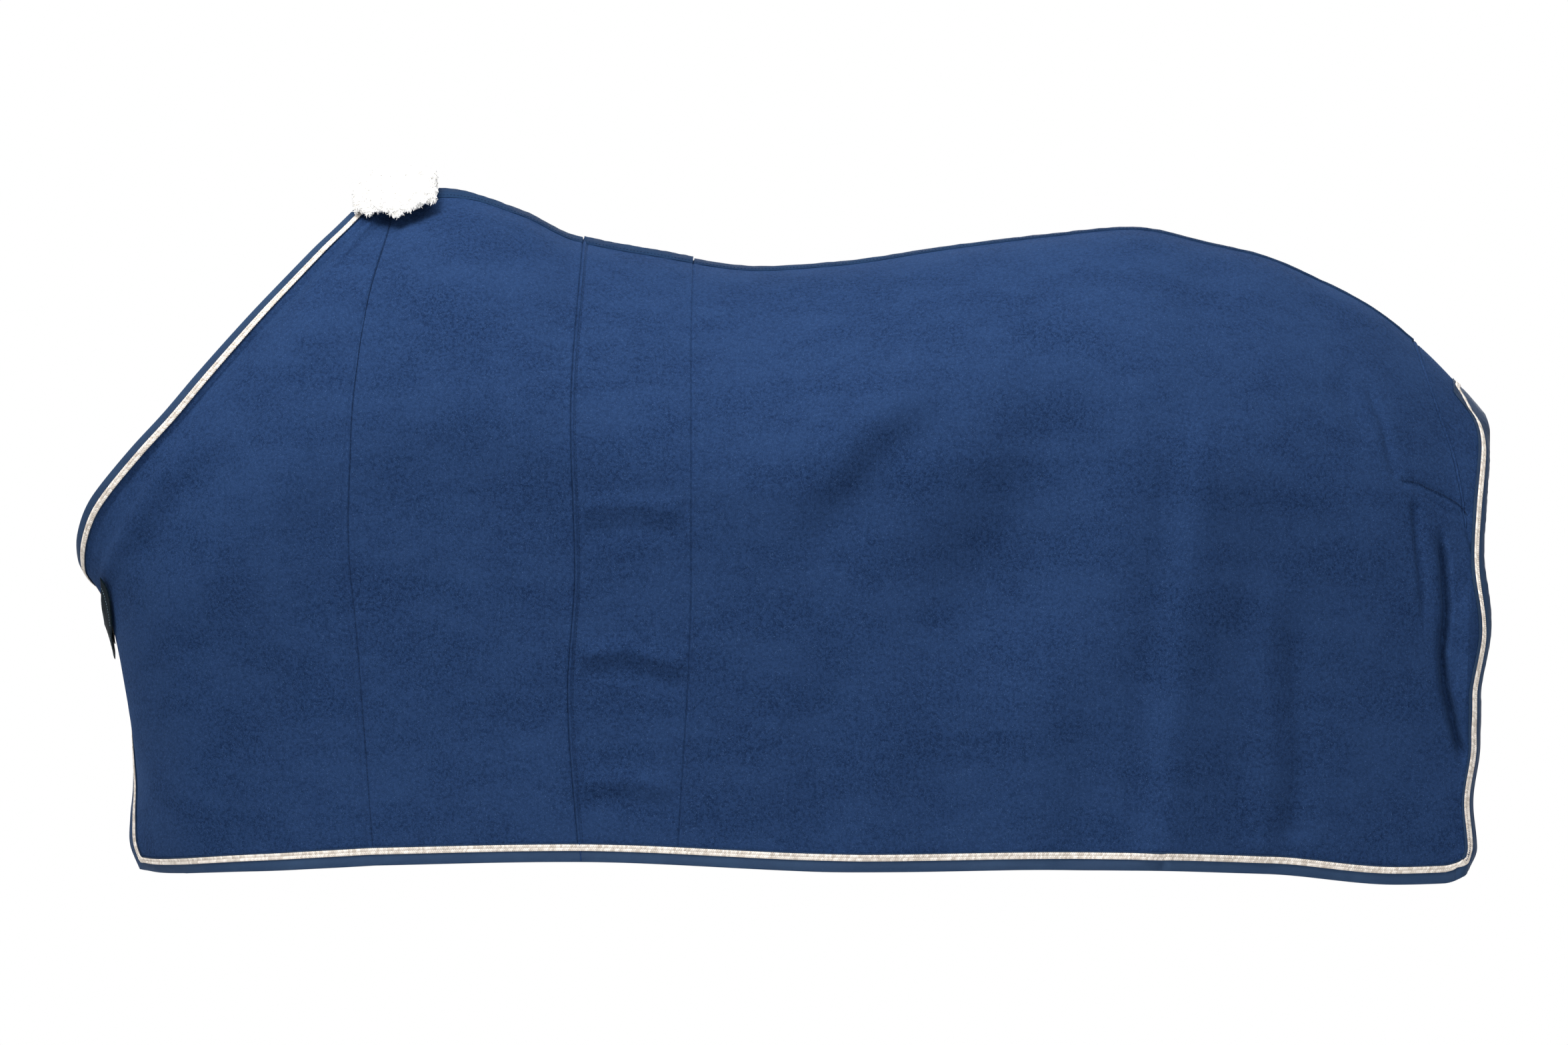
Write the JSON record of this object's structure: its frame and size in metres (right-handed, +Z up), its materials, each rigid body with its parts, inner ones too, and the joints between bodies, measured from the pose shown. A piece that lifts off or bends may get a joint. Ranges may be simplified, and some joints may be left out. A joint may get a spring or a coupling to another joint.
{
  "type": "horse rug",
  "caption": "Fleece show rug in the shape of a horse's back, with bound and braided edges, a withers pad and a hook-and-loop chest strap.",
  "frame": {"origin": "on the back line at the saddle dip, where the horse's back carries the rug", "axes": "-X towards the chest, +X towards the tail, -Y the horse's left side, +Z up"},
  "size_m": [1.8186, 0.6504, 0.9233],
  "materials": {
    "fleece": "navy short-nap fleece",
    "satin_binding": "dark navy twill binding with a soft shine",
    "plaited_braid": "silvery beige flat plaited braid",
    "webbing": "dark teal-black webbing, slightly shiny",
    "hook_and_loop": "black hook-and-loop tape",
    "sheepskin": "white fluffy synthetic sheepskin"
  },
  "bodies": {
    "rug": {"left_shoulder_panel": "fleece", "left_saddle_panel": "fleece", "left_rump_panel": "fleece", "left_tail_gusset": "fleece", "right_shoulder_panel": "fleece", "right_saddle_panel": "fleece", "right_rump_panel": "fleece", "right_tail_gusset": "fleece", "left_neck_panel": "fleece", "right_chest_panel": "fleece", "left_neck_binding_rear": "satin_binding", "right_neck_binding": "satin_binding", "left_hem_binding_rear": "satin_binding", "right_hem_binding": "satin_binding", "left_rear_binding": "satin_binding", "right_front_binding": "satin_binding", "right_rear_binding": "satin_binding", "spine_tape_front": "satin_binding", "spine_tape_middle": "satin_binding", "spine_tape_rear": "satin_binding", "left_neck_braid_rear": "plaited_braid", "right_neck_braid": "plaited_braid", "left_hem_braid_rear": "plaited_braid", "right_hem_braid": "plaited_braid", "left_rear_braid": "plaited_braid", "right_front_braid": "plaited_braid", "right_rear_braid": "plaited_braid", "chest_loop_patch": "hook_and_loop", "withers_pad": "sheepskin"},
    "left_front": {"left_chest_panel_front": "fleece", "left_neck_binding_front": "satin_binding", "left_neck_braid_front": "plaited_braid", "left_front_binding": "satin_binding", "left_front_braid": "plaited_braid", "left_hem_binding_front": "satin_binding", "left_hem_braid_front": "plaited_braid", "strap_sewn_tab": "webbing"},
    "strap": {"closure_strap": "webbing", "strap_hook_patch": "hook_and_loop"}
  },
  "joints": [
    {"name": "left_front_open", "type": "hinge", "parent": "rug", "child": "left_front", "pos_m": [-0.66, -0.29075, -0.77836], "axis": [0, 0.08, 0.9968], "range_deg": [0, 45]},
    {"name": "strap_open", "type": "hinge", "parent": "left_front", "child": "strap", "pos_m": [-0.87525, -0.06738, -0.45431], "axis": [-0.2638, 0.0279, 0.9642], "range_deg": [0, 120]}
  ]
}
